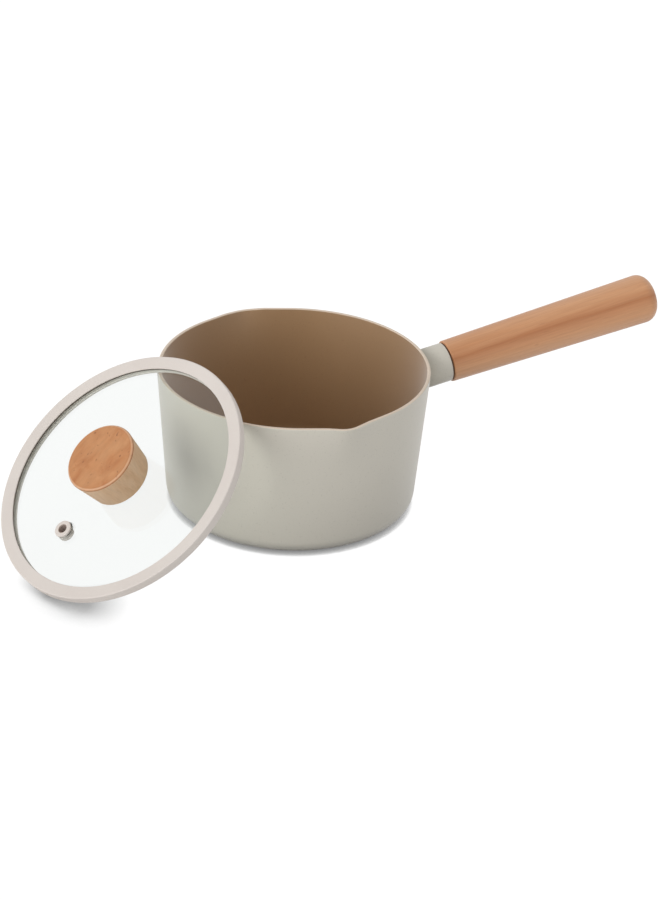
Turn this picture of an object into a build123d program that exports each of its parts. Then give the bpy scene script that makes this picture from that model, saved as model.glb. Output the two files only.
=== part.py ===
import os
from math import cos, radians, sin, tan

from build123d import *

# An 18 cm saucepan with a turned wooden handle, and its glass lid leaning on the rim.
# Millimetres and degrees. The pan stands at the origin, the handle points along +X, +Z is up.

# Pan
RIM_D = 185.0
PAN_H = 100.0
WALL = 2.5
FLOOR = 4.0
WALL_DRAFT = 4.6
CORNER_R = 12.0
RIM_EDGE_R = 0.9

# Pouring lips, one on each side of the pan, fading out down the wall
LIP_REACH = 4.4
LIP_DEPTH = 42.0
LIP_HALF_ANGLE = 19.5
LIP_TIP_R = 20.0
LIP_STEPS = 3
LIP_DIP = 0.9
LIP_DIP_HALF = 16.0

# Perforated steel disc pressed flush into the underside
DISC_R = 62.0
DISC_T = 1.0
DISC_HOLE_R = 3.0
DISC_RINGS = 3
DISC_RING_STEP = 17.0
DISC_GAP = 0.05

# Handle, measured along its axis
HANDLE_RISE = 9.5
HANDLE_DROP = 34.2
BOSS_R = 9.0
BOSS_L = 12.0
FERRULE_R = 13.6
FERRULE_L = 23.0
FERRULE_GAP = 0.1
FERRULE_ROUND = 0.5
GASKET_T = 1.0
GASKET_INSET = 0.5
GRIP_L = 160.7
GRIP_FRONT_R = 14.6
GRIP_END_R = 17.4
GRIP_DOME = 2.5
GRIP_END_ROUND = 9.0
GRIP_FRONT_ROUND = 0.8
STUD_R = 3.0
STUD_IN_BOSS = 9.0
STUD_IN_GRIP = 26.0
INSERT_R = 5.5
INSERT_L = 30.0
BORE_GAP = 0.05

# Lid, on its own axis with zero at the top edge of the silicone ring
RING_STEP = 1.2
RING_H = 6.4
RING_LIP_W = 9.0
RING_LIP_T = 2.0
RING_LIP_FALL = 0.6
RING_LIP_ROUND = 0.4
RING_CROWN_R = 0.8
RING_EDGE_R = 0.7
PLUG_H = 2.0
PLUG_GAP = 1.2
GLASS_T = 4.0
GLASS_EDGE_R = 1.2
GLASS_SEAT = 4.2
GLASS_GAP = 0.1

# Vent grommet in the glass
VENT_RADIUS = 50.6
VENT_ANGLE = 169.2
VENT_HOLE_R = 2.8
VENT_NECK_R = 4.0
VENT_FLANGE_R = 6.0
VENT_FLANGE_T = 1.6
VENT_STEP_R = 4.6
VENT_STEP_T = 1.1
VENT_FOOT_T = 1.2

# Knob and its fixing through the glass
KNOB_TOP_R = 25.0
KNOB_BASE_R = 21.6
KNOB_H = 25.3
KNOB_TOP_ROUND = 1.5
KNOB_BASE_ROUND = 1.0
KNOB_SEAL_T = 0.7
KNOB_SEAL_INSET = 1.2
KNOB_INSERT_R = 4.5
KNOB_INSERT_L = 14.0
SCREW_R = 2.0
SCREW_IN_KNOB = 11.0
SCREW_HEAD_R = 4.2
SCREW_HEAD_T = 2.4
SCREW_SLOT_W = 1.2
SCREW_SLOT_T = 1.1
GLASS_HOLE_R = 3.5
WASHER_R = 7.0
WASHER_T = 1.0
WASHER_SEAL_R = 8.0
WASHER_SEAL_T = 1.5

# How the lid leans: foot on the table, glass on the pan's rim
LEAN = 39.74
LEAN_AZIMUTH = 196.5
LEAN_GAP = 0.3
FOOT_GAP = 0.05

# Worked out from the sizes above
RIM_R = RIM_D / 2
LIP_START = PAN_H - LIP_DEPTH
HANDLE_Z = PAN_H - HANDLE_DROP
HANDLE_WALL = (RIM_R - HANDLE_DROP * tan(radians(WALL_DRAFT))) / (
    cos(radians(HANDLE_RISE)) - sin(radians(HANDLE_RISE)) * tan(radians(WALL_DRAFT))
)
BOSS_END = HANDLE_WALL + BOSS_L
FERRULE_END = HANDLE_WALL + FERRULE_L
GRIP_START = FERRULE_END + GASKET_T
GRIP_END = GRIP_START + GRIP_L
RING_R = RIM_R - RING_STEP
RING_LIP_R = RING_R - RING_LIP_W
PLUG_R = RIM_R - WALL - PLUG_GAP
GLASS_R = RING_LIP_R + GLASS_SEAT
GLASS_TOP = -(RING_LIP_FALL + RING_LIP_T + GLASS_GAP)
GLASS_UNDER = GLASS_TOP - GLASS_T
KNOB_BASE = GLASS_TOP + KNOB_SEAL_T
WASHER_TOP = GLASS_UNDER - WASHER_SEAL_T


def wall_radius(z):
    return RIM_R - (PAN_H - z) * tan(radians(WALL_DRAFT))


def turned(points, rounds=()):
    # A closed outline of (radius, height) points, its named corners rounded, turned about Z.
    outline = make_face(Polyline(*points, close=True))
    for point, radius in rounds:
        corner = outline.vertices().sort_by_distance(Vector(*point))[0]
        outline = fillet(corner, radius)
    return revolve(Plane.XZ * outline, Axis.Z)


def sleeve(inner, outer, low, high, rounds=()):
    points = [(inner, low), (outer, low), (outer, high), (inner, high)]
    return turned(points, rounds)


def on_handle(shape):
    # Carry a piece turned about Z onto the handle's axis.
    return Pos(0, 0, HANDLE_Z) * Rot(0, 90 - HANDLE_RISE, 0) * shape


def lean_place():
    # The ring's lower edge stands on the table and the glass rests on the rim's rounded edge.
    tilt = radians(LEAN)
    foot = [(PLUG_R, RING_H + PLUG_H), (RING_R, RING_H)]
    height = FOOT_GAP + RING_EDGE_R + max(
        (radius - RING_EDGE_R) * sin(tilt) + (depth - RING_EDGE_R) * cos(tilt) for radius, depth in foot
    )
    edge_r = RIM_R - RIM_EDGE_R
    edge_z = PAN_H - RIM_EDGE_R
    depth = LEAN_GAP + RIM_EDGE_R - GLASS_UNDER
    away = edge_r + (depth + (edge_z - height) * cos(tilt)) / sin(tilt)
    return Rot(0, 0, LEAN_AZIMUTH) * Pos(away, 0, height) * Rot(0, LEAN, 0) * Rot(0, 0, 180)


def pan_section(z, inset):
    # The wall's outline at one height: a circle that swells into a rounded lip on +Y and -Y.
    radius = wall_radius(z) - inset
    swell = ((z - LIP_START) / LIP_DEPTH) ** 2
    half = radians(LIP_HALF_ANGLE)
    side = Vector(sin(half), cos(half))
    reach = LIP_REACH * swell
    tip_r = 1 / (1 / radius + swell * (1 / (LIP_TIP_R - inset) - 1 / radius))
    if swell == 0:
        join = Vector(sin(half / 2), cos(half / 2)) * radius
    else:
        tip_y = radius + reach - tip_r
        flank_r = (tip_y**2 + radius**2 - 2 * tip_y * radius * cos(half) - tip_r**2) / (
            2 * (tip_r - radius + tip_y * cos(half))
        )
        tip = Vector(0, tip_y)
        join = tip + (side * (radius + flank_r) - tip) * (tip_r / (flank_r + tip_r))
    start = side * radius
    wall = ThreePointArc((start.X, -start.Y), (radius, 0), start)
    flank = TangentArc(start, join, tangent=(-cos(half), sin(half)))
    nose = ThreePointArc(join, (0, radius + reach), (-join.X, join.Y))
    lip = [flank, nose, mirror(flank, Plane.YZ)]
    edges = [wall, mirror(wall, Plane.YZ), *lip, *[mirror(edge, Plane.XZ) for edge in lip]]
    return Pos(0, 0, z) * make_face(edges)


def pan_form(inset, bottom, corner):
    # A solid of the pan's outside (no inset) or of the space inside it (inset by the wall).
    low = wall_radius(bottom) - inset
    top = wall_radius(LIP_START) - inset
    cup = turned([(0, bottom), (low, bottom), (top, LIP_START), (0, LIP_START)], [((low, bottom), corner)])
    levels = [LIP_START + LIP_DEPTH * step / LIP_STEPS for step in range(LIP_STEPS + 1)]
    return cup + loft([pan_section(z, inset) for z in levels])


def lip_dip():
    # What comes off the rim at both lips: a shallow trough whose sides run out level.
    left = Vector(-LIP_DIP_HALF, PAN_H)
    right = Vector(LIP_DIP_HALF, PAN_H)
    trough = Spline(left, (0, PAN_H - LIP_DIP), right, tangents=[(1, 0), (1, 0)])
    above = Polyline(right, right + Vector(0, LIP_DIP), left + Vector(0, LIP_DIP), left)
    return extrude(Plane.XZ * make_face([trough, above]), RIM_D, both=True)


def disc_holes(radius):
    # Rings of holes, six more in each ring outwards.
    pegs = []
    for ring in range(1, DISC_RINGS + 1):
        pegs += PolarLocations(ring * DISC_RING_STEP, 6 * ring) * Cylinder(
            radius, DISC_T, align=(Align.CENTER, Align.CENTER, Align.MIN)
        )
    return pegs


def induction_base():
    return sleeve(0, DISC_R, 0, DISC_T) - disc_holes(DISC_HOLE_R)


def pan_body():
    inside = pan_form(WALL, FLOOR, CORNER_R - WALL)
    boss = on_handle(sleeve(0, BOSS_R, HANDLE_WALL - BOSS_R, BOSS_END))
    pan = pan_form(0, 0, CORNER_R) + boss - inside - lip_dip()
    rim = pan.edges().filter_by_position(Axis.Z, PAN_H - LIP_DIP, PAN_H)
    pan = fillet(rim.filter_by(lambda edge: edge.length > 2 * WALL), RIM_EDGE_R)
    pan -= on_handle(sleeve(0, STUD_R + BORE_GAP, BOSS_END - STUD_IN_BOSS - BORE_GAP, BOSS_END))
    pan -= sleeve(0, DISC_R + DISC_GAP, 0, DISC_T)
    return pan + disc_holes(DISC_HOLE_R - DISC_GAP)


def handle_ferrule():
    # A plain collar over the boss, its end cut to the slope and curve of the wall.
    rounds = [((FERRULE_R, FERRULE_END), FERRULE_ROUND)]
    collar = on_handle(sleeve(STUD_R + BORE_GAP, FERRULE_R, 0, FERRULE_END, rounds))
    socket = on_handle(sleeve(0, BOSS_R + BORE_GAP, 0, BOSS_END))
    low = wall_radius(0) + FERRULE_GAP
    high = wall_radius(PAN_H) + FERRULE_GAP
    wall = turned([(0, 0), (low, 0), (high, PAN_H), (0, PAN_H)])
    return collar - socket - wall


def handle_gasket():
    return on_handle(sleeve(INSERT_R, FERRULE_R - GASKET_INSET, FERRULE_END, GRIP_START))


def handle_grip():
    # A straight taper with a rounded, slightly domed end, bored for the insert.
    shoulder = GRIP_END - GRIP_DOME
    outline = make_face(
        [
            Polyline((0, GRIP_END), (0, GRIP_START), (GRIP_FRONT_R, GRIP_START), (GRIP_END_R, shoulder)),
            TangentArc((0, GRIP_END), (GRIP_END_R, shoulder), tangent=(1, 0)),
        ]
    )
    for point, radius in (
        ((GRIP_END_R, shoulder), GRIP_END_ROUND),
        ((GRIP_FRONT_R, GRIP_START), GRIP_FRONT_ROUND),
    ):
        outline = fillet(outline.vertices().sort_by_distance(Vector(*point))[0], radius)
    grip = revolve(Plane.XZ * outline, Axis.Z)
    return on_handle(grip - sleeve(0, INSERT_R + BORE_GAP, GRIP_START, GRIP_START + INSERT_L))


def handle_insert():
    return on_handle(sleeve(STUD_R + BORE_GAP, INSERT_R, GRIP_START, GRIP_START + INSERT_L))


def handle_stud():
    return on_handle(sleeve(0, STUD_R, BOSS_END - STUD_IN_BOSS, GRIP_START + STUD_IN_GRIP))


def vent_place():
    return Rot(0, 0, VENT_ANGLE) * Pos(VENT_RADIUS, 0, GLASS_TOP)


def lid_glass():
    # A flat disc with rounded edges, drilled for the knob's screw and for the vent.
    rounds = [((GLASS_R, GLASS_UNDER), GLASS_EDGE_R), ((GLASS_R, GLASS_TOP), GLASS_EDGE_R)]
    glass = sleeve(GLASS_HOLE_R, GLASS_R, GLASS_UNDER, GLASS_TOP, rounds)
    return glass - vent_place() * sleeve(0, VENT_NECK_R + GLASS_GAP, -GLASS_T, 0)


def lid_rim():
    # A soft channel round the glass: upper lip, seat for the pan's rim, short plug inside it.
    groove_r = GLASS_R + GLASS_GAP
    groove_top = GLASS_TOP + GLASS_GAP
    groove_under = GLASS_UNDER - GLASS_GAP
    seat = -RING_H
    foot = -RING_H - PLUG_H
    points = [
        (RING_R, seat),
        (RING_R, 0),
        (RING_LIP_R, -RING_LIP_FALL),
        (RING_LIP_R, groove_top),
        (groove_r, groove_top),
        (groove_r, groove_under),
        (RING_LIP_R, groove_under),
        (RING_LIP_R, foot),
        (PLUG_R, foot),
        (PLUG_R, seat),
    ]
    rounds = [
        ((RING_R, 0), RING_CROWN_R),
        ((RING_LIP_R, -RING_LIP_FALL), RING_LIP_ROUND),
        ((RING_LIP_R, foot), RING_LIP_ROUND),
        ((RING_R, seat), RING_EDGE_R),
        ((PLUG_R, foot), RING_EDGE_R),
    ]
    return turned(points, rounds)


def vent_grommet():
    # A sleeve through the glass, its top flange held off the glass by a smaller step.
    under = -GLASS_T - GLASS_GAP
    flange = VENT_STEP_T + VENT_FLANGE_T
    points = [
        (VENT_HOLE_R, under - VENT_FOOT_T),
        (VENT_FLANGE_R, under - VENT_FOOT_T),
        (VENT_FLANGE_R, under),
        (VENT_NECK_R, under),
        (VENT_NECK_R, GLASS_GAP),
        (VENT_STEP_R, GLASS_GAP),
        (VENT_STEP_R, VENT_STEP_T),
        (VENT_FLANGE_R, VENT_STEP_T),
        (VENT_FLANGE_R, flange),
        (VENT_HOLE_R, flange),
    ]
    rounds = [
        ((VENT_FLANGE_R, flange), VENT_FLANGE_T / 3),
        ((VENT_HOLE_R, flange), VENT_FLANGE_T / 4),
        ((VENT_FLANGE_R, under - VENT_FOOT_T), VENT_FOOT_T / 3),
    ]
    return vent_place() * turned(points, rounds)


def lid_knob():
    top = KNOB_BASE + KNOB_H
    points = [(0, KNOB_BASE), (KNOB_BASE_R, KNOB_BASE), (KNOB_TOP_R, top), (0, top)]
    rounds = [((KNOB_BASE_R, KNOB_BASE), KNOB_BASE_ROUND), ((KNOB_TOP_R, top), KNOB_TOP_ROUND)]
    knob = turned(points, rounds)
    return knob - sleeve(0, KNOB_INSERT_R + BORE_GAP, KNOB_BASE, KNOB_BASE + KNOB_INSERT_L)


def knob_insert():
    return sleeve(SCREW_R + BORE_GAP, KNOB_INSERT_R, KNOB_BASE, KNOB_BASE + KNOB_INSERT_L)


def knob_gasket():
    return sleeve(GLASS_HOLE_R, KNOB_BASE_R - KNOB_SEAL_INSET, GLASS_TOP, KNOB_BASE)


def screw_gasket():
    return sleeve(GLASS_HOLE_R, WASHER_SEAL_R, WASHER_TOP, WASHER_TOP + WASHER_SEAL_T)


def screw_washer():
    return sleeve(SCREW_R + GLASS_GAP, WASHER_R, WASHER_TOP - WASHER_T, WASHER_TOP)


def knob_screw():
    head_top = WASHER_TOP - WASHER_T
    head = head_top - SCREW_HEAD_T
    points = [
        (0, head),
        (SCREW_HEAD_R, head),
        (SCREW_HEAD_R, head_top),
        (SCREW_R, head_top),
        (SCREW_R, KNOB_BASE + SCREW_IN_KNOB),
        (0, KNOB_BASE + SCREW_IN_KNOB),
    ]
    screw = turned(points, [((SCREW_HEAD_R, head), SCREW_HEAD_T / 2)])
    return screw - Pos(0, 0, head) * Box(3 * SCREW_HEAD_R, SCREW_SLOT_W, 2 * SCREW_SLOT_T)


pan_pieces = (
    pan_body,
    induction_base,
    handle_ferrule,
    handle_gasket,
    handle_grip,
    handle_insert,
    handle_stud,
)
lid_pieces = (
    lid_glass,
    lid_rim,
    vent_grommet,
    lid_knob,
    knob_insert,
    knob_gasket,
    knob_screw,
    screw_gasket,
    screw_washer,
)

os.makedirs("parts", exist_ok=True)
for piece in pan_pieces:
    export_step(piece(), f"parts/{piece.__name__}.step")
for piece in lid_pieces:
    export_step(lean_place() * piece(), f"parts/{piece.__name__}.step")
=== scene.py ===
import bmesh
import bpy
import numpy as np
from mathutils import Matrix, Vector


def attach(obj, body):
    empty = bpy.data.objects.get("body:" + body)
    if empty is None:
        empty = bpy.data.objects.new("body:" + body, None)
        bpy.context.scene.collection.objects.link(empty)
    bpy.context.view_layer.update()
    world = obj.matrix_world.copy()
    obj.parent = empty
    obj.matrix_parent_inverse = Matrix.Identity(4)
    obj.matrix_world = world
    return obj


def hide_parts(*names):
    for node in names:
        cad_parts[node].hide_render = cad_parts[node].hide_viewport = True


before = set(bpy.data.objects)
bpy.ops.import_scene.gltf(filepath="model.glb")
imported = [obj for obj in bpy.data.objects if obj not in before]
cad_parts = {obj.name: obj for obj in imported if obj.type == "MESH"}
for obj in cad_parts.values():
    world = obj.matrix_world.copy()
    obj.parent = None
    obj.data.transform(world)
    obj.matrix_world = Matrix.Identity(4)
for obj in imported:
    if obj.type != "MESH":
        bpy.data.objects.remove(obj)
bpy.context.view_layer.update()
print("frame loaded:", len(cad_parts), "nodes")


# helpers that every piece uses; a rounded corner has the steps of its arc and a point at each side

weldGap = 1e-6
arcSteps = 8
cornerPoints = arcSteps + 2


def gridFaces(rows, columns, closed=False):
    # quads of a grid, joined round its columns and, when closed, from its last row to its first
    i = np.arange(rows if closed else rows - 1)[:, None]
    j = np.arange(columns)[None, :]
    up, on = (i + 1) % rows, (j + 1) % columns
    corners = [i * columns + j, i * columns + on, up * columns + on, up * columns + j]
    return np.stack(corners, axis=-1).reshape(-1, 4)


def addPiece(name, points, faces, materials, rowTag=None):
    # rowTag picks the material of each row of faces; points that fall together, as at a pole, become one
    mesh = bpy.data.meshes.new(name)
    mesh.from_pydata(points.reshape(-1, 3), [], faces.tolist())
    for material in materials:
        mesh.materials.append(material)
    mesh.polygons.foreach_set("use_smooth", np.ones(len(faces), dtype=bool))
    if rowTag is not None:
        tags = np.repeat(rowTag, len(faces) // len(rowTag)).astype(np.int32)
        mesh.polygons.foreach_set("material_index", tags)
    weld = bmesh.new()
    weld.from_mesh(mesh)
    bmesh.ops.remove_doubles(weld, verts=weld.verts, dist=weldGap)
    weld.to_mesh(mesh)
    weld.free()
    mesh.update()
    piece = bpy.data.objects.new(name, mesh)
    bpy.context.scene.collection.objects.link(piece)
    return piece


def roundedLine(corners, radii, steps=arcSteps, hold=0.35):
    # each corner of a line becomes an arc of its own radius, with a point kept on the straight at each
    # side; a corner of radius 0 stays a point
    p, r = np.array(corners, dtype=float), np.array(radii, dtype=float)
    back, ahead = np.roll(p, 1, axis=0) - p, np.roll(p, -1, axis=0) - p
    a = back / np.linalg.norm(back, axis=1, keepdims=True)
    b = ahead / np.linalg.norm(ahead, axis=1, keepdims=True)
    half = np.arccos(np.clip((a * b).sum(1), -1, 1)) / 2
    reach = (r / np.tan(half))[:, None]
    middle = (a + b) / np.linalg.norm(a + b, axis=1, keepdims=True)
    centre = p + middle * (r / np.sin(half))[:, None]
    turn = (np.pi - 2 * half)[:, None, None]
    s = np.linspace(0, 1, steps)[None, :, None]
    first, last = (p + a * reach - centre)[:, None, :], (p + b * reach - centre)[:, None, :]
    arc = centre[:, None, :] + (np.sin((1 - s) * turn) * first + np.sin(s * turn) * last) / np.sin(turn)
    before = arc[:, :1] + (a * reach * hold)[:, None, :]
    after = arc[:, -1:] + (b * reach * hold)[:, None, :]
    return np.concatenate([before, arc, after], axis=1).reshape(-1, 2)


def filledLine(line, gap):
    # the same line with extra points, so that neighbours lie no further apart than the gap
    at = np.append(0, np.cumsum(np.linalg.norm(np.diff(line, axis=0), axis=1)))
    places = np.union1d(at, np.arange(0, at[-1], gap))
    return np.stack([np.interp(places, at, line[:, 0]), np.interp(places, at, line[:, 1])], axis=1)


def arcLine(centre, radius, first, last, steps):
    # points on a circle between two directions given in radians
    a = np.linspace(first, last, steps)[:, None]
    return np.array(centre) + radius * np.hstack([np.cos(a), np.sin(a)])


def roundAngles(count):
    return np.linspace(0, 2 * np.pi, count, endpoint=False)


def turnedPiece(name, profile, segments, place, materials, rowTag=None, closed=False):
    # radius and height of the profile carried round the axis: (r cos a, r sin a, z), then put in place
    a = roundAngles(segments)[None, :]
    r, z = profile[:, :1], profile[:, 1:]
    points = placed(np.stack([r * np.cos(a), r * np.sin(a), z + 0 * a], axis=-1), place)
    return addPiece(name, points, gridFaces(len(profile), segments, closed), materials, rowTag)


def placed(points, place):
    return points @ place[:3, :3].T + place[:3, 3]


def turnMatrix(axis, degrees):
    return np.array(Matrix.Rotation(np.radians(degrees), 4, axis))


def shiftMatrix(x, y, z):
    return np.array(Matrix.Translation((x, y, z)))


# materials

def startMaterial(name, roughness, **fixed):
    material = bpy.data.materials.new(name)
    material.use_nodes = True
    tree = material.node_tree
    shader = tree.nodes["Principled BSDF"]
    shader.inputs["Roughness"].default_value = roughness
    for socket, value in fixed.items():
        shader.inputs[socket].default_value = value
    return material, tree, shader


def linear(red, green, blue):
    # 0 to 255 display colour as the linear colour that a shader takes
    c = np.array([red, green, blue]) / 255
    c = np.where(c <= 0.04045, c / 12.92, ((c + 0.055) / 1.055) ** 2.4)
    return (*c, 1.0)


def grey(level):
    return (level, level, level, 1)


def objectVector(tree, turn=(0, 0, 0), stretch=(1, 1, 1), start=(0, 0, 0)):
    # place on the piece in a frame that starts at a point and is turned; stretch draws the pattern out
    where = tree.nodes.new("ShaderNodeTexCoord")
    mapping = tree.nodes.new("ShaderNodeMapping")
    mapping.vector_type = "TEXTURE"
    mapping.inputs["Rotation"].default_value = np.radians(turn)
    mapping.inputs["Scale"].default_value = stretch
    mapping.inputs["Location"].default_value = start
    tree.links.new(where.outputs["Object"], mapping.inputs["Vector"])
    return mapping.outputs["Vector"]


def noise(tree, vector, scale, detail=3.0, rough=0.5, distort=0.0):
    n = tree.nodes.new("ShaderNodeTexNoise")
    n.inputs["Scale"].default_value = scale
    n.inputs["Detail"].default_value = detail
    n.inputs["Roughness"].default_value = rough
    n.inputs["Distortion"].default_value = distort
    tree.links.new(vector, n.inputs["Vector"])
    return n.outputs["Fac"]


def ramp(tree, value, stops):
    n = tree.nodes.new("ShaderNodeValToRGB")
    while len(n.color_ramp.elements) < len(stops):
        n.color_ramp.elements.new(0.5)
    for element, (place, colour) in zip(n.color_ramp.elements, stops):
        element.position = place
        element.color = colour
    tree.links.new(value, n.inputs["Fac"])
    return n.outputs["Color"]


def mask(tree, value, low, high):
    # black up to a low value and white from a high one
    return ramp(tree, value, [(low, grey(0)), (high, grey(1))])


def toned(tree, value, look, low, high):
    # the look's shade up to a low value and its colour from a high one
    return ramp(tree, value, [(low, linear(*look["shade"])), (high, linear(*look["colour"]))])


def blendColour(tree, amount, first, second, mode="MIX"):
    n = tree.nodes.new("ShaderNodeMix")
    n.data_type = "RGBA"
    n.blend_type = mode
    for socket, value in (("Factor_Float", amount), ("A_Color", first), ("B_Color", second)):
        target = next(s for s in n.inputs if s.identifier == socket)
        if isinstance(value, bpy.types.NodeSocket):
            tree.links.new(value, target)
        else:
            target.default_value = value
    return next(s for s in n.outputs if s.identifier == "Result_Color")


def spread(tree, value, low, high, first=0.0, last=1.0):
    # first..last becomes low..high, held at both ends
    n = tree.nodes.new("ShaderNodeMapRange")
    for socket, number in zip(("From Min", "From Max", "To Min", "To Max"), (first, last, low, high)):
        n.inputs[socket].default_value = number
    tree.links.new(value, n.inputs["Value"])
    return n.outputs["Result"]


def maths(tree, operation, *values):
    n = tree.nodes.new("ShaderNodeMath")
    n.operation = operation
    for socket, value in zip(n.inputs, values):
        if isinstance(value, bpy.types.NodeSocket):
            tree.links.new(value, socket)
        else:
            socket.default_value = value
    return n.outputs["Value"]


def roughen(tree, shader, value, middle, swing):
    tree.links.new(spread(tree, value, middle - swing, middle + swing), shader.inputs["Roughness"])


def vectorSum(tree, operation, vector, other=(0, 0, 0)):
    # length of a vector, or its dot product with a fixed one
    n = tree.nodes.new("ShaderNodeVectorMath")
    n.operation = operation
    n.inputs[1].default_value = other
    tree.links.new(vector, n.inputs[0])
    return n.outputs["Value"]


def bump(tree, shader, value, strength, depth):
    n = tree.nodes.new("ShaderNodeBump")
    n.inputs["Strength"].default_value = strength
    n.inputs["Distance"].default_value = depth
    tree.links.new(value, n.inputs["Height"])
    tree.links.new(n.outputs["Normal"], shader.inputs["Normal"])


coatGrain = {
    "driftDetail": 2.0, "driftLow": 0.3, "driftHigh": 0.7, "speckDetail": 1.0, "pebbleDetail": 2.0,
    "roughSwing": 0.06, "depth": 0.0002,
}


def coatMaterial(name, look):
    # sprayed coat: slow drift of tone, fine specks, and a fine pebbled surface
    c = coatGrain
    material, tree, shader = startMaterial(name, look["roughness"])
    shader.inputs["Specular IOR Level"].default_value = look["sheen"]
    shader.inputs["Sheen Weight"].default_value = look["veil"]
    here = objectVector(tree)
    drift = noise(tree, here, look["driftScale"], c["driftDetail"])
    tone = toned(tree, drift, look, c["driftLow"], c["driftHigh"])
    spray = noise(tree, here, look["speckScale"], c["speckDetail"])
    speck = mask(tree, spray, look["speckFrom"], look["speckTo"])
    colour = blendColour(tree, speck, tone, linear(*look["speck"]))
    tree.links.new(colour, shader.inputs["Base Color"])
    pebble = noise(tree, here, look["pebbleScale"], c["pebbleDetail"])
    roughen(tree, shader, pebble, look["roughness"], c["roughSwing"])
    bump(tree, shader, pebble, look["pebble"], c["depth"])
    return material


woodGrain = {
    "streakDetail": 4.0, "streakRough": 0.55, "streakBend": 0.6, "darkAt": 0.32, "plainAt": 0.5,
    "lightAt": 0.72, "fibreStretch": 2.0, "fibreDetail": 3.0, "fibreRough": 0.6, "fibreLow": 0.35,
    "fibreHigh": 0.65, "fibreTint": (0.55, 0.5, 0.46, 1), "fibres": 0.22, "poreDetail": 1.0,
    "poreLow": 0.68, "poreHigh": 0.76, "roughSwing": 0.08, "depth": 0.0002,
}


def addPaintedBands(tree, tone, streak, paintedBands, start):
    # painted light and shade in bands: the tone tinted by how far a point lies from a plane or an axis of
    # the piece, with edges that the streaks make uneven; each stop has a place, a strength and a colour
    where = objectVector(tree, paintedBands["turn"], paintedBands["size"], start)
    reach = vectorSum(tree, paintedBands["measure"], where, paintedBands["across"])
    reach = spread(tree, reach, 0.0, 1.0, paintedBands["first"], paintedBands["last"])
    stops = [(at, (*linear(*colour)[:3], much)) for at, much, colour in paintedBands["stops"]]
    tint = ramp(tree, maths(tree, "MULTIPLY_ADD", streak, paintedBands["uneven"], reach), stops)
    return blendColour(tree, tint.node.outputs["Alpha"], tone, tint)


def woodMaterial(name, look, turn, start, paintedBands=None):
    # long streaks and fine fibres along the piece's own axis, with short dark pores, and painted bands of
    # light and shade when they are given
    material, tree, shader = startMaterial(name, look["roughness"])
    w, along = woodGrain, look["stretch"]
    lengthwise = objectVector(tree, turn, (1, 1, along), start)
    finer = objectVector(tree, turn, (1, 1, along * w["fibreStretch"]), start)
    streak = noise(
        tree, lengthwise, look["streakScale"], w["streakDetail"], w["streakRough"], w["streakBend"]
    )
    shades = (w["darkAt"], look["dark"]), (w["plainAt"], look["colour"]), (w["lightAt"], look["light"])
    tone = ramp(tree, streak, [(at, linear(*colour)) for at, colour in shades])
    if paintedBands:
        tone = addPaintedBands(tree, tone, streak, paintedBands, start)
    fibre = noise(tree, finer, look["fibreScale"], w["fibreDetail"], w["fibreRough"])
    lines = ramp(tree, fibre, [(w["fibreLow"], w["fibreTint"]), (w["fibreHigh"], grey(1))])
    shade = blendColour(tree, w["fibres"], tone, lines, "MULTIPLY")
    pore = noise(tree, lengthwise, look["poreScale"], w["poreDetail"])
    dots = spread(tree, mask(tree, pore, w["poreLow"], w["poreHigh"]), 0.0, look["pore"])
    colour = blendColour(tree, dots, shade, linear(*look["poreColour"]))
    tree.links.new(colour, shader.inputs["Base Color"])
    roughen(tree, shader, fibre, look["roughness"], w["roughSwing"])
    bump(tree, shader, fibre, look["grain"], w["depth"])
    return material


softGrain = {
    "cloudDetail": 3.0, "cloudLow": 0.3, "cloudHigh": 0.7, "dustDetail": 1.0, "dustLow": 0.62,
    "dustHigh": 0.75, "skinDetail": 2.0, "roughSwing": 0.07, "depth": 0.0001,
}


def softMaterial(name, look):
    # moulded rubber: matt skin, faint cloudiness and dust
    g = softGrain
    material, tree, shader = startMaterial(name, look["roughness"])
    here = objectVector(tree)
    cloud = noise(tree, here, look["cloudScale"], g["cloudDetail"])
    tone = toned(tree, cloud, look, g["cloudLow"], g["cloudHigh"])
    dust = mask(tree, noise(tree, here, look["dustScale"], g["dustDetail"]), g["dustLow"], g["dustHigh"])
    colour = blendColour(tree, spread(tree, dust, 0.0, look["dust"]), tone, linear(*look["dustColour"]))
    tree.links.new(colour, shader.inputs["Base Color"])
    skin = noise(tree, here, look["skinScale"], g["skinDetail"])
    roughen(tree, shader, skin, look["roughness"], g["roughSwing"])
    bump(tree, shader, skin, look["skin"], g["depth"])
    return material


metalGrain = {
    "ringBend": 1.2, "ringDetail": 2.0, "polishDetail": 3.0, "roughSwing": 0.1, "rings": 0.15,
    "depth": 0.0001,
}


def metalMaterial(name, look):
    # turned metal: fine rings round the vertical axis and a slow change of polish
    m = metalGrain
    material, tree, shader = startMaterial(name, look["roughness"], Metallic=1.0)
    here = objectVector(tree)
    rings = tree.nodes.new("ShaderNodeTexWave")
    rings.wave_type = "RINGS"
    rings.rings_direction = "Z"
    rings.inputs["Scale"].default_value = look["ringScale"]
    rings.inputs["Distortion"].default_value = m["ringBend"]
    rings.inputs["Detail"].default_value = m["ringDetail"]
    tree.links.new(here, rings.inputs["Vector"])
    polish = noise(tree, here, look["polishScale"], m["polishDetail"])
    tone = toned(tree, rings.outputs["Fac"], look, 0.0, 1.0)
    tree.links.new(blendColour(tree, polish, tone, linear(*look["colour"])), shader.inputs["Base Color"])
    roughen(tree, shader, polish, look["roughness"], m["roughSwing"])
    bump(tree, shader, rings.outputs["Fac"], m["rings"], m["depth"])
    return material


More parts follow.
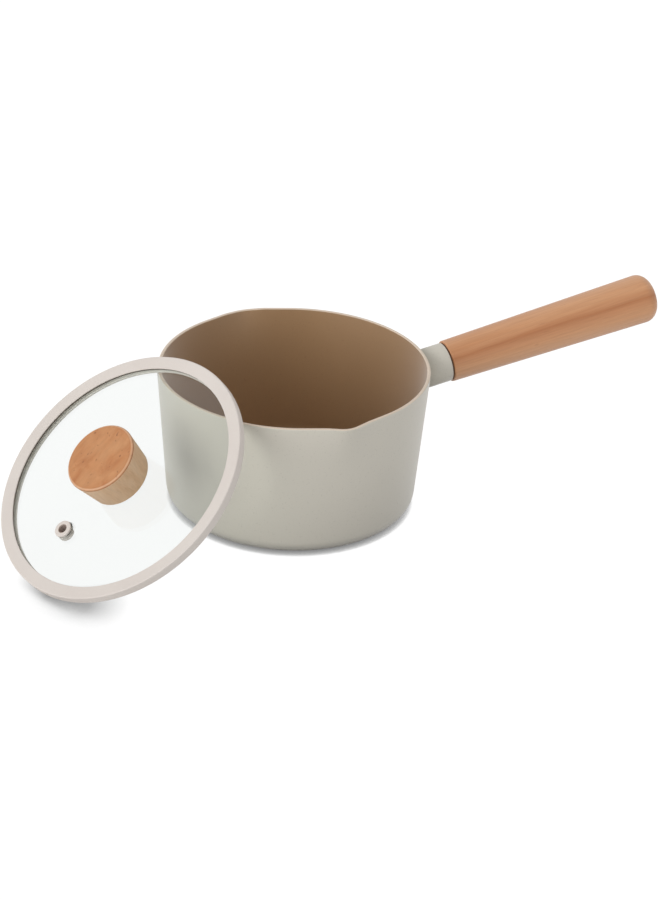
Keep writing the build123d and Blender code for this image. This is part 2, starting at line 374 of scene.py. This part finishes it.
def glassMaterial(name, look):
    # clear tempered glass, with faint wipe marks in its polish; rays that only carry light go straight
    # through it
    material, tree, shader = startMaterial(name, look["roughness"], IOR=look["ior"])
    shader.inputs["Transmission Weight"].default_value = 1.0
    shader.inputs["Base Color"].default_value = linear(*look["colour"])
    wiped = objectVector(tree, look["wipeTurn"], look["wipeStretch"])
    wipe = noise(tree, wiped, look["wipeScale"], look["wipeDetail"])
    tree.links.new(spread(tree, wipe, 0.0, look["roughness"]), shader.inputs["Roughness"])
    path = tree.nodes.new("ShaderNodeLightPath")
    clear = tree.nodes.new("ShaderNodeBsdfTransparent")
    clear.inputs["Color"].default_value = linear(*look["shadow"])
    mix = tree.nodes.new("ShaderNodeMixShader")
    light = maths(tree, "MAXIMUM", path.outputs["Is Shadow Ray"], path.outputs["Is Diffuse Ray"])
    tree.links.new(light, mix.inputs["Fac"])
    tree.links.new(shader.outputs["BSDF"], mix.inputs[1])
    tree.links.new(clear.outputs["BSDF"], mix.inputs[2])
    tree.links.new(mix.outputs["Shader"], tree.nodes["Material Output"].inputs["Surface"])
    return material


outerCoat = coatMaterial("outerCoat", {
    "colour": (209, 204, 192), "shade": (206, 201, 189), "speck": (198, 193, 181),
    "roughness": 0.38, "sheen": 0.5, "veil": 0.0,
    "driftScale": 14.0, "speckScale": 900.0, "speckFrom": 0.64, "speckTo": 0.74, "pebbleScale": 700.0,
    "pebble": 0.06,
})
innerCoat = coatMaterial("innerCoat", {
    "colour": (159, 123, 82), "shade": (155, 119, 78), "speck": (148, 112, 72),
    "roughness": 0.5, "sheen": 1.0, "veil": 0.7,
    "driftScale": 18.0, "speckScale": 1100.0, "speckFrom": 0.64, "speckTo": 0.74, "pebbleScale": 900.0,
    "pebble": 0.06,
})
rimCoat = coatMaterial("rimCoat", {
    "colour": (222, 204, 185), "shade": (216, 198, 178), "speck": (204, 186, 165),
    "roughness": 0.4, "sheen": 0.5, "veil": 0.0,
    "driftScale": 40.0, "speckScale": 1500.0, "speckFrom": 0.62, "speckTo": 0.72, "pebbleScale": 900.0,
    "pebble": 0.05,
})
paleSilicone = softMaterial("paleSilicone", {
    "colour": (219, 211, 204), "shade": (214, 205, 198), "dustColour": (230, 224, 218), "roughness": 0.55,
    "cloudScale": 25.0, "dustScale": 1400.0, "dust": 0.35, "skinScale": 1200.0, "skin": 0.1,
})
# paler silicone painted on as light, for the lower lip under the glass where little light reaches
paintedLightSilicone = softMaterial("paintedLightSilicone", {
    "colour": (240, 235, 228), "shade": (236, 231, 224), "dustColour": (246, 242, 236), "roughness": 0.55,
    "cloudScale": 25.0, "dustScale": 1400.0, "dust": 0.35, "skinScale": 1200.0, "skin": 0.1,
})
# dark silicone painted on as shade, for the shadowed line and gaps where silicone meets the glass
paintedShadeSilicone = softMaterial("paintedShadeSilicone", {
    "colour": (84, 74, 64), "shade": (74, 64, 54), "dustColour": (104, 94, 84), "roughness": 0.6,
    "cloudScale": 40.0, "dustScale": 1400.0, "dust": 0.2, "skinScale": 1200.0, "skin": 0.1,
})
# darker silicone painted on as shade inside the vent's bore
holeShadeSilicone = softMaterial("holeShadeSilicone", {
    "colour": (172, 156, 146), "shade": (160, 144, 134), "dustColour": (184, 170, 160), "roughness": 0.6,
    "cloudScale": 60.0, "dustScale": 1400.0, "dust": 0.3, "skinScale": 1200.0, "skin": 0.1,
})
darkRubber = softMaterial("darkRubber", {
    "colour": (92, 68, 54), "shade": (78, 56, 44), "dustColour": (116, 94, 80), "roughness": 0.6,
    "cloudScale": 60.0, "dustScale": 1500.0, "dust": 0.4, "skinScale": 1500.0, "skin": 0.15,
})
clearGlass = glassMaterial("clearGlass", {
    "colour": (243, 245, 244), "shadow": (251, 253, 252), "roughness": 0.02, "ior": 1.45,
    "wipeScale": 30.0, "wipeDetail": 2.0, "wipeTurn": (0, 0, 30), "wipeStretch": (1, 0.17, 1),
})
spunSteel = metalMaterial("spunSteel", {
    "colour": (190, 190, 188), "shade": (165, 165, 163), "roughness": 0.34,
    "ringScale": 260.0, "polishScale": 30.0,
})
plainSteel = metalMaterial("plainSteel", {
    "colour": (200, 200, 198), "shade": (180, 180, 178), "roughness": 0.3,
    "ringScale": 500.0, "polishScale": 120.0,
})
turnedBrass = metalMaterial("turnedBrass", {
    "colour": (205, 175, 110), "shade": (180, 150, 90), "roughness": 0.32,
    "ringScale": 500.0, "polishScale": 120.0,
})
print("materials made:", len(bpy.data.materials))


# pan: wall section carried round the axis, swelling into the two pouring lips

panSize = {
    "rim": 0.0925, "height": 0.100, "wall": 0.0025, "floor": 0.004, "draft": 4.6, "corner": 0.012,
    "edge": 0.0009, "lipReach": 0.00432, "lipDepth": 0.042, "lipAngle": 19.5, "lipTip": 0.020,
    "lipDip": 0.0009, "dipHalf": 0.016, "dipDepth": 0.012, "bareDrop": 0.0004, "rowGap": 0.0022,
    "discR": 0.0622, "discProud": 0.00005, "leastSwell": 1e-4, "arcSteps": 12, "hold": 0.2,
    "segments": 360,
}


def wallRadius(z):
    return panSize["rim"] - (panSize["height"] - z) * np.tan(np.radians(panSize["draft"]))


def lipRadius(angle, z, inset):
    # radius of the wall at an angle and height: the plain cone, or near +Y and -Y the lip's flank or nose
    p = panSize
    plain = wallRadius(z) - inset
    swell = np.clip((z - p["height"] + p["lipDepth"]) / p["lipDepth"], p["leastSwell"], None) ** 2
    half = np.radians(p["lipAngle"])
    noseR = 1 / (1 / plain + swell * (1 / (p["lipTip"] - inset) - 1 / plain))
    noseY = plain + p["lipReach"] * swell - noseR
    apart = noseY**2 + plain**2 - 2 * noseY * plain * np.cos(half)
    flankR = (apart - noseR**2) / (2 * (noseR - plain + noseY * np.cos(half)))
    far = plain + flankR
    share = noseR / (flankR + noseR)
    join = np.arctan2(share * far * np.sin(half), noseY + share * (far * np.cos(half) - noseY))
    off = np.arccos(np.clip(np.abs(np.sin(angle)), 0, 1))
    nose = noseY * np.cos(off) + np.sqrt(np.clip(noseR**2 - (noseY * np.sin(off)) ** 2, 0, None))
    swing = np.sqrt(np.clip(flankR**2 - (far * np.sin(half - off)) ** 2, 0, None))
    flank = far * np.cos(half - off) - np.sign(flankR) * swing
    return np.where(off < join, nose, np.where(off < half, flank, plain))


def lipFall(angle):
    # how far the rim falls at a lip, 1 at its tip and easing to 0 at both sides: (1 - t^2)^2
    across = panSize["rim"] * np.cos(angle) / panSize["dipHalf"]
    return np.clip(1 - across**2, 0, None) ** 2


def buildPan():
    # one section from the middle of the base, out and up the wall, over the rim and down to the middle of
    # the floor, carried round the axis; each point keeps its depth below the outer face while the lip
    # swells; the base lies a hair higher where the steel disc covers it
    p = panSize
    inner = p["height"], p["floor"]
    corners = [
        (0, p["discProud"]), (p["discR"], p["discProud"]), (p["discR"], 0), (wallRadius(0), 0),
        (wallRadius(p["height"]), p["height"]),
        *[(wallRadius(z) - p["wall"], z) for z in inner], (0, p["floor"]),
    ]
    radii = [0, 0, 0, p["corner"], p["edge"], p["edge"], p["corner"] - p["wall"], 0]
    section = filledLine(roundedLine(corners, radii, p["arcSteps"], p["hold"]), p["rowGap"])
    r, z = section[:, :1], section[:, 1:]
    angle = roundAngles(p["segments"])[None, :]
    inset = wallRadius(z) - r
    low = z - p["lipDip"] * lipFall(angle) * np.clip((z - p["height"]) / p["dipDepth"] + 1, 0, 1)
    swollen = np.where(z > p["height"] - p["lipDepth"], lipRadius(angle, low, inset), r)
    points = np.stack([swollen * np.cos(angle), swollen * np.sin(angle), low], axis=-1)
    crest = np.flatnonzero(section[:, 1] > p["height"] - p["bareDrop"])
    row = np.arange(len(section) - 1)
    tag = (row >= crest[0]).astype(int) + (row >= crest[-1])
    finish = [outerCoat, rimCoat, innerCoat]
    return addPiece("panShell", points, gridFaces(*points.shape[:2]), finish, tag)


panShell = buildPan()
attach(panShell, "pan")
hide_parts("pan_body")
print("pan built:", len(panShell.data.polygons), "faces")


# handle: collar, dark seal and wooden grip on one rising axis

handleSize = {
    "rise": 9.5, "height": 0.0658, "collarR": 0.0136, "collarL": 0.023, "collarEdge": 0.0005,
    "socketR": 0.009, "sealT": 0.001, "sealInset": 0.0005, "gripL": 0.16069, "frontR": 0.0146,
    "endR": 0.0174, "dome": 0.0025, "endRound": 0.009, "frontRound": 0.0008, "boreR": 0.00555,
    "boreL": 0.030, "boreRound": 1e-4, "sealRound": 2e-4, "sealBoreRound": 5e-5, "sealSteps": 5,
    "endEase": 0.001, "endSteps": 16, "domeSteps": 12, "gap": 0.0001, "newtonSteps": 6, "segments": 128,
}
handlePlace = shiftMatrix(0, 0, handleSize["height"]) @ turnMatrix("Y", 90 - handleSize["rise"])


def wallStart(radius, angle):
    # how far along the handle's axis a line beside it leaves the pan's cone, by a few Newton steps
    h, along = handleSize, handlePlace[:3, 2]
    circle = np.stack([radius * np.cos(angle), radius * np.sin(angle), 0 * angle], axis=-1)
    ring = placed(circle, handlePlace)
    start = np.full(len(angle), panSize["rim"])
    for _ in range(h["newtonSteps"]):
        x, y, z = (ring + start[:, None] * along).T
        miss = np.hypot(x, y) - wallRadius(z) - h["gap"]
        slope = x * along[0] / np.hypot(x, y) - along[2] * np.tan(np.radians(panSize["draft"]))
        start = start - miss / slope
    return start


handleWall = wallStart(0.0, np.zeros(1))[0] - handleSize["gap"]
collarEnd = handleWall + handleSize["collarL"]
gripStart = collarEnd + handleSize["sealT"]
gripTurn = (0, 90 - handleSize["rise"], 0)
handleWood = woodMaterial("handleWood", {
    "colour": (212, 158, 116), "dark": (201, 143, 100), "light": (218, 169, 130),
    "poreColour": (140, 88, 54), "roughness": 0.42, "stretch": 16.0, "streakScale": 80.0,
    "fibreScale": 800.0, "poreScale": 1500.0, "pore": 0.25, "grain": 0.1,
}, gripTurn, (0, 0, handleSize["height"]), {
    "measure": "DOT_PRODUCT", "turn": gripTurn, "size": (0.016, 0.016, 0.016),
    "across": (-0.857, 0.515, 0.006), "first": -1.0, "last": 1.0, "uneven": 0.3,
    # a dark band along the grip's middle and a lighter one near its top: partly streaks in the grain,
    # partly painted shade and a painted highlight
    "stops": [
        (0.25, 0.0, (194, 133, 87)), (0.48, 0.3, (190, 128, 83)), (0.69, 1.0, (180, 117, 73)),
        (0.9, 0.25, (200, 142, 97)), (1.0, 0.0, (200, 142, 97)),
    ],
})


def buildCollar():
    # a tube on the handle's axis; its inner end follows the pan's cone and its outer edge is rounded
    h = handleSize
    a = roundAngles(h["segments"])
    corners = [(h["collarR"], handleWall), (h["collarR"], collarEnd), (h["boreR"], collarEnd)]
    edge = roundedLine(corners, [0, h["collarEdge"], 0])
    radius = np.append(h["socketR"], edge[:, 0])[:, None] + 0 * a
    height = np.vstack([wallStart(h["socketR"], a), edge[:, 1:] + 0 * a])
    onWall = edge[:, 1] == handleWall
    height[1:][onWall] = wallStart(h["collarR"], a)
    points = placed(np.stack([radius * np.cos(a), radius * np.sin(a), height], axis=-1), handlePlace)
    return addPiece("handleCollar", points, gridFaces(len(points), len(a), True), [outerCoat])


def buildSeal():
    # a flat ring between collar and grip, set in a little from the collar
    h = handleSize
    wide, bore, edge = h["collarR"] - h["sealInset"], h["sealBoreRound"], h["sealRound"]
    corners = [(h["boreR"], collarEnd), (wide, collarEnd), (wide, gripStart), (h["boreR"], gripStart)]
    profile = roundedLine(corners, [bore, edge, edge, bore], h["sealSteps"])
    return turnedPiece("handleSeal", profile, h["segments"], handlePlace, [darkRubber], closed=True)


def buildGrip():
    # bored front, straight taper, and an end whose round touches both the taper and the dome's arc
    h = handleSize
    end = gripStart + h["gripL"]
    shoulder = np.array([h["endR"], end - h["dome"]])
    domeR = (h["endR"] ** 2 + h["dome"] ** 2) / (2 * h["dome"])
    domeCentre = np.array([0, end - domeR])
    along = shoulder - np.array([h["frontR"], gripStart])
    along /= np.linalg.norm(along)
    inward = np.array([-along[1], along[0]])
    off = shoulder + inward * h["endRound"] - domeCentre
    back = along @ off - np.sqrt((along @ off) ** 2 - off @ off + (domeR - h["endRound"]) ** 2)
    centre = off - along * back + domeCentre
    toDome = np.arctan2(*(centre - domeCentre)[::-1])
    front = roundedLine(
        [(0, gripStart + h["boreL"]), (h["boreR"], gripStart + h["boreL"]), (h["boreR"], gripStart),
         (h["frontR"], gripStart), shoulder],
        [0, h["boreRound"], h["boreRound"], h["frontRound"], 0],
    )[:-cornerPoints]
    rounding = arcLine(centre, h["endRound"], np.arctan2(*-inward[::-1]), toDome, h["endSteps"])
    dome = arcLine(domeCentre, domeR, toDome, np.pi / 2, h["domeSteps"])
    profile = np.vstack([front, rounding[:1] - along * h["endEase"], rounding, dome])
    return turnedPiece("handleGrip", profile, h["segments"], handlePlace, [handleWood])


for build, node, slot in (
    (buildCollar, "handle_ferrule", "pan_coat"), (buildSeal, "handle_gasket", "dark_rubber"),
    (buildGrip, "handle_grip", "handle_wood"),
):
    piece = build()
    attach(piece, "pan")
    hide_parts(node)
print("handle built")


# lid: glass, soft ring, vent sleeve and knob on one leaning axis

lidPlace = {"away": 0.147313, "height": 0.063054, "lean": 39.74, "azimuth": 196.5}
lidMatrix = (
    turnMatrix("Z", lidPlace["azimuth"]) @ shiftMatrix(lidPlace["away"], 0, lidPlace["height"])
    @ turnMatrix("Y", lidPlace["lean"]) @ turnMatrix("Z", 180)
)
glassSize = {
    "radius": 0.0865, "thick": 0.004, "top": -0.0027, "edge": 0.0012, "ventR": 0.0041, "ventAt": 0.0506,
    "ventAngle": 169.2, "segments": 192, "rows": 24,
}
ringSize = {
    "radius": 0.09128, "seat": 0.0064, "lipR": 0.0823, "lipFall": 0.0006, "lipRound": 0.0004,
    "lipT": 0.0008, "lineR": 0.0824, "lineRound": 3e-5, "grooveRound": 1e-4, "crown": 0.0008,
    "edge": 0.0007, "plugR": 0.0888, "plug": 0.002, "gap": 0.0001, "paintedShadeWall": 4, "paintedLightWalls": (7, 8),
    "segments": 360,
}
ventSize = {
    "hole": 0.0028, "neck": 0.004, "flange": 0.006, "flangeT": 0.0016, "step": 0.0046, "stepT": 0.0011,
    "footT": 0.0012, "fineRound": 1e-4, "footRound": 4e-4, "underRound": 2e-4, "flangeRound": 5e-4,
    "holeRound": 4e-4, "paintedShadeWalls": (3, 4, 5, 6), "holeWall": 9, "segments": 64,
}
knobSize = {
    "topR": 0.025, "baseR": 0.0216, "base": -0.002, "tall": 0.0253, "topRound": 0.0015,
    "baseRound": 0.001, "boreR": 0.00455, "boreL": 0.014, "boreRound": 1e-4, "arcSteps": 12,
    "topCorner": 4, "grainRow": 2, "sealR": 0.0204, "sealBore": 0.0035, "sealRound": 2e-4,
    "sealBoreRound": 5e-5, "sealSteps": 5, "paintedBandsL": 1e4, "segments": 128,
}
knobTurn = (0, lidPlace["lean"], lidPlace["azimuth"])
# side wood made paler partly as painted light, for light falling on the side from low in front
knobSideWood = woodMaterial("knobSideWood", {
    "colour": (226, 189, 151), "dark": (217, 175, 134), "light": (232, 200, 166),
    "poreColour": (156, 113, 78), "roughness": 0.5, "stretch": 12.0, "streakScale": 110.0,
    "fibreScale": 900.0, "poreScale": 1600.0, "pore": 0.3, "grain": 0.12,
}, knobTurn, lidMatrix[:3, 3])
knobTopWood = woodMaterial("knobTopWood", {
    "colour": (194, 133, 84), "dark": (181, 113, 63), "light": (201, 144, 96),
    "poreColour": (110, 58, 30), "roughness": 0.46, "stretch": 1.4, "streakScale": 75.0,
    "fibreScale": 260.0, "poreScale": 420.0, "pore": 0.5, "grain": 0.12,
}, (0, lidPlace["lean"] - 90, lidPlace["azimuth"]), lidMatrix[:3, 3], {
    "measure": "LENGTH", "turn": knobTurn,
    "size": (knobSize["topR"], knobSize["topR"], knobSize["paintedBandsL"]),
    "across": (0, 0, 0), "first": 0.0, "last": 1.0, "uneven": 0.0,
    # a painted highlight ring on the top's rounded edge, then darker towards the very edge
    "stops": [
        (0.0, 0.0, (186, 120, 70)), (0.9, 0.0, (186, 120, 70)), (0.925, 0.5, (186, 120, 70)),
        (0.95, 0.6, (226, 184, 148)), (0.975, 0.6, (226, 184, 148)), (0.988, 0.85, (172, 112, 70)),
        (1.0, 0.85, (172, 112, 70)),
    ],
})


def buildGlass():
    # straight lines from the vent's circle to the rim's circle: underside, rounded edge, top, vent wall
    g = glassSize
    a = roundAngles(g["segments"])[None, :]
    ring = np.stack([np.cos(a), np.sin(a)], axis=-1)
    toVent = np.radians(g["ventAngle"])
    vent = g["ventAt"] * np.array([np.cos(toVent), np.sin(toVent)])
    s = np.linspace(0, 1, g["rows"])[:, None, None]
    flat = (1 - s) * (vent + g["ventR"] * ring) + s * (g["radius"] - g["edge"]) * ring
    bend = roundedLine(
        [(0, -g["thick"]), (g["radius"], -g["thick"]), (g["radius"], 0), (0, 0)],
        [0, g["edge"], g["edge"], 0],
    )[cornerPoints:-cornerPoints, None, :]
    rows = [
        np.insert(flat, 2, -g["thick"], axis=2),
        np.concatenate([bend[..., :1] * ring, bend[..., 1:] + 0 * ring[..., :1]], axis=-1),
        np.insert(flat[::-1], 2, 0, axis=2),
    ]
    points = placed(np.concatenate(rows), lidMatrix @ shiftMatrix(0, 0, g["top"]))
    return addPiece("lidGlass", points, gridFaces(*points.shape[:2], True), [clearGlass])


def buildRing():
    # soft channel: upper lip that falls a little inwards, with painted shade on the lowest part of its
    # inner edge, where it meets the glass, painted light on the lower lip under the glass, a crisp outer
    # edge, and a seat with a short plug below
    g, q = ringSize, glassSize
    groove = q["radius"] + g["gap"]
    over, under = q["top"] + g["gap"], q["top"] - q["thick"] - g["gap"]
    seat, foot, line = -g["seat"], -g["seat"] - g["plug"], -g["lipFall"] - g["lipT"]
    corners = [
        (g["radius"], seat), (g["radius"], 0), (g["lipR"], -g["lipFall"]), (g["lipR"], line),
        (g["lineR"], line), (g["lineR"], over), (groove, over), (groove, under), (g["lipR"], under),
        (g["lipR"], foot), (g["plugR"], foot), (g["plugR"], seat),
    ]
    radii = [
        g["edge"], g["crown"], g["lipRound"], *[g["lineRound"]] * 2, *[g["grooveRound"]] * 4,
        g["lipRound"], g["edge"], g["grooveRound"],
    ]
    profile = roundedLine(corners, radii)
    wall = np.arange(len(profile)) // cornerPoints
    # the lowest part of the upper lip's inner edge gets painted shade, and the lower lip under the glass
    # painted light
    tag = (wall == g["paintedShadeWall"]) + 2 * np.isin(wall, g["paintedLightWalls"])
    finish = [paleSilicone, paintedShadeSilicone, paintedLightSilicone]
    return turnedPiece("lidRing", profile, g["segments"], lidMatrix, finish, tag, closed=True)


def buildVent():
    # sleeve with a foot under the glass and a flange held off it by a smaller step; the neck, the step
    # and the flange's underside get painted shade, and the bore a milder painted shade
    v, g, gap = ventSize, glassSize, ringSize["gap"]
    under = -g["thick"] - gap
    foot, top = under - v["footT"], v["stepT"] + v["flangeT"]
    corners = [
        (v["hole"], foot), (v["flange"], foot), (v["flange"], under), (v["neck"], under),
        (v["neck"], gap), (v["step"], gap), (v["step"], v["stepT"]), (v["flange"], v["stepT"]),
        (v["flange"], top), (v["hole"], top),
    ]
    radii = [
        v["fineRound"], v["footRound"], *[v["fineRound"]] * 5, v["underRound"], v["flangeRound"],
        v["holeRound"],
    ]
    place = lidMatrix @ turnMatrix("Z", g["ventAngle"]) @ shiftMatrix(g["ventAt"], 0, g["top"])
    profile = roundedLine(corners, radii)
    wall = np.arange(len(profile)) // cornerPoints
    # painted shade under the flange, and a milder painted shade in the bore
    tag = np.isin(wall, v["paintedShadeWalls"]) + 2 * (wall == v["holeWall"])
    finish = [paleSilicone, paintedShadeSilicone, holeShadeSilicone]
    return turnedPiece("ventSleeve", profile, v["segments"], place, finish, tag, closed=True)


def buildKnob():
    # bored cone that widens upwards, rounded at both edges; the top face is end grain in a darker, more
    # orange wood, and the side's paler wood is partly painted light
    k = knobSize
    top, bore = k["base"] + k["tall"], k["base"] + k["boreL"]
    corners = [
        (0, bore), (k["boreR"], bore), (k["boreR"], k["base"]), (k["baseR"], k["base"]), (k["topR"], top),
        (0, top),
    ]
    radii = [0, k["boreRound"], k["boreRound"], k["baseRound"], k["topRound"], 0]
    profile = roundedLine(corners, radii, k["arcSteps"])
    tag = np.arange(len(profile) - 1) >= (k["arcSteps"] + 2) * k["topCorner"] + k["grainRow"]
    return turnedPiece("lidKnob", profile, k["segments"], lidMatrix, [knobSideWood, knobTopWood], tag)


def buildKnobSeal():
    # a flat ring between glass and knob
    k, low = knobSize, glassSize["top"] + ringSize["gap"]
    bore, edge = k["sealBoreRound"], k["sealRound"]
    corners = [
        (k["sealBore"], low), (k["sealR"], low), (k["sealR"], k["base"]), (k["sealBore"], k["base"]),
    ]
    profile = roundedLine(corners, [bore, edge, edge, bore], k["sealSteps"])
    return turnedPiece("knobSeal", profile, k["segments"], lidMatrix, [paleSilicone], closed=True)


for build, node, slot in (
    (buildGlass, "lid_glass", "glass"), (buildRing, "lid_rim", "silicone"),
    (buildVent, "vent_grommet", "silicone"), (buildKnob, "lid_knob", "knob_wood"),
    (buildKnobSeal, "knob_gasket", "silicone"),
):
    piece = build()
    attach(piece, "lid")
    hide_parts(node)
print("lid built")

# CAD nodes that keep their own shape
keptFinish = {
    "induction_base": spunSteel, "handle_stud": plainSteel, "handle_insert": turnedBrass,
    "knob_insert": turnedBrass, "knob_screw": plainSteel, "screw_washer": plainSteel,
    "screw_gasket": paleSilicone,
}
for node, finish in keptFinish.items():
    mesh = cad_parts[node].data
    mesh.materials.clear()
    mesh.materials.append(finish)
print("kept nodes finished:", len(keptFinish))


# floor, light and camera

studio = {
    "floorHalf": 15.0, "floorDrop": 1e-4, "nearGrey": 0.08, "farGrey": 0.72, "nearR": 0.09, "farR": 0.22,
    "paper": 0.08, "paperRough": 0.9, "lift": 0.99, "dark": 0.19, "closed": 0.33, "open": 0.90,
    "shadeSamples": 2, "panShade": 0.0048, "panNear": 0.10, "panFar": 0.14, "lidShade": 0.034,
    "shadeMiddle": (-0.191, -0.0828, 0), "shadeTurn": (0, 0, -24.2), "shadeReach": (0.043, 0.060, 1),
    "shadeNear": 0.35, "ringMiddle": (-0.0963, 0.0742, 0), "ringTurn": (0, 0, 59.03),
    "ringReach": (0.1716, 0.0736, 1), "ringNear": 0.95, "ringFar": 1.04,
    "horizon": 1.02, "zenith": 0.54, "lamp": 1.26, "lampSize": 42.0, "lampFrom": (-0.93, -0.30, 0.28),
}


def seenRay(tree):
    # 1 for rays that the camera, a reflection or the glass sees, 0 for rays that only carry light
    path = tree.nodes.new("ShaderNodeLightPath")
    seen = path.outputs["Is Camera Ray"]
    for other in ("Is Glossy Ray", "Is Transmission Ray"):
        seen = maths(tree, "MAXIMUM", seen, path.outputs[other])
    return seen


def mixSeen(tree, lighting, seen, output):
    # one shader for rays that carry light, another for rays that are looked along
    mix = tree.nodes.new("ShaderNodeMixShader")
    tree.links.new(seenRay(tree), mix.inputs["Fac"])
    tree.links.new(lighting.outputs[0], mix.inputs[1])
    tree.links.new(seen.outputs[0], mix.inputs[2])
    tree.links.new(mix.outputs[0], tree.nodes[output].inputs["Surface"])


def openness(tree, distance, strength):
    # 1 where nothing is within a distance above the floor, less by the strength where it is covered
    near = tree.nodes.new("ShaderNodeAmbientOcclusion")
    near.samples = studio["shadeSamples"]
    near.inputs["Distance"].default_value = distance
    covered = spread(tree, near.outputs["AO"], -1.0, 0.0, studio["closed"], studio["open"])
    return maths(tree, "MULTIPLY_ADD", covered, strength, 1.0)


def paperMaterial():
    # as a source of light, grey paper that is darker close to the pan, as painted shade; looked at, it is
    # white, with a painted shadow, narrow round the pan and wider beside the lid's foot, but none behind
    # the glass
    s = studio
    material, tree, shader = startMaterial("floorPaper", s["paperRough"])
    shader.inputs["Specular IOR Level"].default_value = 0.0
    away = vectorSum(tree, "LENGTH", objectVector(tree))
    tone = ramp(tree, away, [(s["nearR"], grey(s["nearGrey"])), (s["farR"], grey(s["farGrey"]))])
    tree.links.new(tone, shader.inputs["Base Color"])
    sheet = tree.nodes.new("ShaderNodeBsdfDiffuse")
    sheet.inputs["Color"].default_value = grey(s["paper"])
    byShade = objectVector(tree, s["shadeTurn"], s["shadeReach"], s["shadeMiddle"])
    byRing = objectVector(tree, s["ringTurn"], s["ringReach"], s["ringMiddle"])
    around, beside = vectorSum(tree, "LENGTH", byShade), vectorSum(tree, "LENGTH", byRing)
    byFoot = maths(
        tree, "MULTIPLY", spread(tree, around, 1.0, 0.0, s["shadeNear"]),
        spread(tree, beside, 0.0, 1.0, s["ringNear"], s["ringFar"]),
    )
    byPan = spread(tree, away, 1.0, 0.0, s["panNear"], s["panFar"])
    light = maths(
        tree, "MULTIPLY", openness(tree, s["panShade"], byPan), openness(tree, s["lidShade"], byFoot)
    )
    glow = tree.nodes.new("ShaderNodeEmission")
    tree.links.new(spread(tree, light, s["dark"], s["lift"]), glow.inputs["Strength"])
    both = tree.nodes.new("ShaderNodeAddShader")
    tree.links.new(sheet.outputs[0], both.inputs[0])
    tree.links.new(glow.outputs[0], both.inputs[1])
    mixSeen(tree, shader, both, "Material Output")
    return material


def buildFloor():
    # a flat sheet just under the pan
    half = studio["floorHalf"]
    points = np.array([(-half, -half), (half, -half), (half, half), (-half, half)])
    points = np.insert(points, 2, -studio["floorDrop"], axis=1)
    return addPiece("studioFloor", points, np.array([[0, 1, 2, 3]]), [paperMaterial()])


def buildSky():
    # light falls off from the horizon to overhead; looked at, the sky is plain white
    world = bpy.data.worlds.new("studioSky")
    bpy.context.scene.world = world
    world.use_nodes = True
    tree = world.node_tree
    where = tree.nodes.new("ShaderNodeTexCoord")
    split = tree.nodes.new("ShaderNodeSeparateXYZ")
    tree.links.new(where.outputs["Generated"], split.inputs[0])
    sky = tree.nodes["Background"]
    sky.inputs["Color"].default_value = grey(1)
    fall = spread(tree, split.outputs["Z"], studio["horizon"], studio["zenith"])
    tree.links.new(fall, sky.inputs["Strength"])
    white = tree.nodes.new("ShaderNodeBackground")
    white.inputs["Color"].default_value = grey(1)
    mixSeen(tree, sky, white, "World Output")


def buildLamp():
    # one broad soft lamp, low on the left
    data = bpy.data.lights.new("softLamp", "SUN")
    data.energy = studio["lamp"]
    data.angle = np.radians(studio["lampSize"])
    lamp = bpy.data.objects.new("softLamp", data)
    lamp.rotation_euler = Vector(studio["lampFrom"]).to_track_quat("Z", "Y").to_euler()
    bpy.context.scene.collection.objects.link(lamp)


buildFloor()
buildSky()
buildLamp()

view = {
    "turn": -24.2, "pitch": 28.07, "roll": 2.27, "lens": 120.0, "sensor": 36.0, "far": 100.0,
    "place": (-0.7221, -1.6707, 1.0072),
}
cameraData = bpy.data.cameras.new("photoCamera")
cameraData.lens = view["lens"]
cameraData.sensor_width = view["sensor"]
cameraData.clip_end = view["far"]
camera = bpy.data.objects.new("photoCamera", cameraData)
aim = turnMatrix("Z", view["turn"]) @ turnMatrix("X", 90 - view["pitch"]) @ turnMatrix("Z", view["roll"])
camera.matrix_world = Matrix(shiftMatrix(*view["place"]) @ aim)
bpy.context.scene.collection.objects.link(camera)
bpy.context.scene.camera = camera
bpy.context.scene.view_settings.view_transform = "Standard"
print("studio set")
